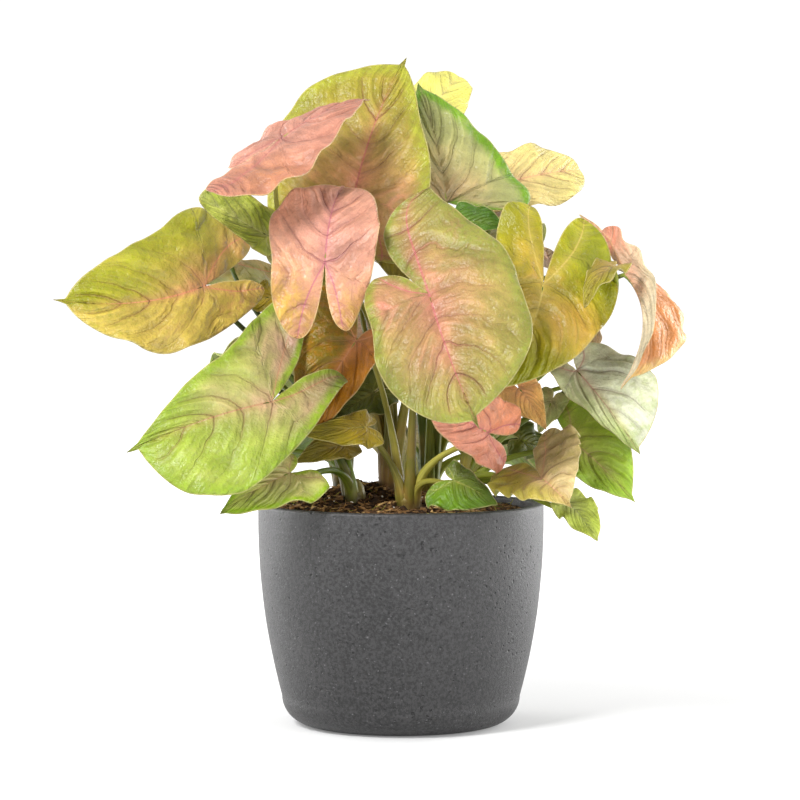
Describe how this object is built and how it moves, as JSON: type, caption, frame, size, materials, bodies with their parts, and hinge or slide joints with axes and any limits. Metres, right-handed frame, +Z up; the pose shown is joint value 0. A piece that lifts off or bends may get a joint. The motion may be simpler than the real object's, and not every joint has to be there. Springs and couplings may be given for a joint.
{
  "type": "potted arrowhead plant",
  "caption": "Bushy arrowhead vine with pink, lime and olive arrow-shaped leaves on thin stalks, growing from bark soil in a round dark cup pot.",
  "frame": {"origin": "centre of the flat foot of the pot, on the surface it stands on", "axes": "+Z up through the pot and the plant; the side with the best leaves faces -Y and +X is to its right"},
  "size_m": [0.3209, 0.2654, 0.3512],
  "materials": {
    "leaf_cream": "satin leaf surface",
    "leaf_dark_green": "satin leaf surface",
    "leaf_green": "satin leaf surface",
    "leaf_lime": "satin leaf surface",
    "leaf_olive": "satin leaf surface",
    "leaf_orange": "satin leaf surface",
    "leaf_pink": "satin leaf surface",
    "leaf_silver": "satin leaf surface",
    "pot": "matte cast, dark charcoal with fine pits",
    "soil": "matte, crumbly bark and peat with light specks",
    "stem": "satin, olive green"
  },
  "bodies": {
    "root": {"back_left_shoot": "stem", "back_shoot": "stem", "front_shoot": "stem", "leaf_back_far_left": "leaf_cream", "leaf_back_high": "leaf_silver", "leaf_back_high_right": "leaf_lime", "leaf_back_left": "leaf_green", "leaf_back_low": "leaf_lime", "leaf_back_low_left": "leaf_olive", "leaf_back_low_right": "leaf_green", "leaf_back_middle": "leaf_pink", "leaf_back_right": "leaf_cream", "leaf_back_side": "leaf_silver", "leaf_back_top": "leaf_lime", "leaf_backlit_right": "leaf_cream", "leaf_backlit_top": "leaf_cream", "leaf_bright_curl": "leaf_green", "leaf_centre": "leaf_cream", "leaf_dark_right": "leaf_dark_green", "leaf_far_left": "leaf_lime", "leaf_green_right": "leaf_green", "leaf_grey_high": "leaf_silver", "leaf_grey_low": "leaf_silver", "leaf_heart_low": "leaf_olive", "leaf_inner_dark": "leaf_dark_green", "leaf_inner_left": "leaf_lime", "leaf_inner_olive": "leaf_olive", "leaf_low_left": "leaf_lime", "leaf_olive_low": "leaf_olive", "leaf_olive_lowest": "leaf_olive", "leaf_orange_inner": "leaf_orange", "leaf_orange_low": "leaf_orange", "leaf_over_rim": "leaf_lime", "leaf_pink_front": "leaf_pink", "leaf_pink_high": "leaf_pink", "leaf_pink_low": "leaf_pink", "leaf_right_drooping": "leaf_orange", "leaf_right_front": "leaf_lime", "leaf_right_hook": "leaf_green", "leaf_rim_green": "leaf_green", "leaf_rim_left": "leaf_green", "leaf_side_left_high": "leaf_pink", "leaf_side_left_low": "leaf_lime", "leaf_side_right_high": "leaf_pink", "leaf_side_right_low": "leaf_lime", "leaf_side_right_top": "leaf_silver", "leaf_silver_right": "leaf_silver", "leaf_small_curled": "leaf_green", "leaf_tall": "leaf_lime", "left_shoot": "stem", "middle_shoot": "stem", "pot": "pot", "right_shoot": "stem", "soil": "soil"}
  },
  "joints": []
}
